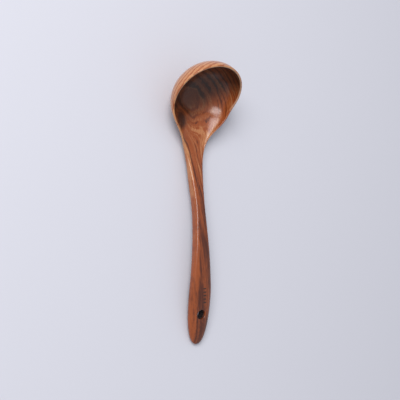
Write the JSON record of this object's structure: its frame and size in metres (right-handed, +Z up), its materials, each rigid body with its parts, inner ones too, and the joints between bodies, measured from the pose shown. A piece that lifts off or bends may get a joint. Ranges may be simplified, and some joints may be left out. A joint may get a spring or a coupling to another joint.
{
  "type": "soup ladle",
  "caption": "Carved wooden soup ladle: round tilted bowl with a thin rim flowing into an arched, round-edged handle with a hanging hole.",
  "frame": {"origin": "on the table, under the middle of the ladle's length, with the belly of the bowl and the end of the handle resting on the table", "axes": "+X from the bowl to the end of the handle, +Y across the ladle, +Z up from the table"},
  "size_m": [0.2982, 0.082, 0.0668],
  "materials": {
    "bowl_wood": "oiled, satin gloss",
    "handle_wood": "oiled, satin gloss"
  },
  "bodies": {
    "root": {"bowl": "bowl_wood", "handle": "handle_wood"}
  },
  "joints": []
}
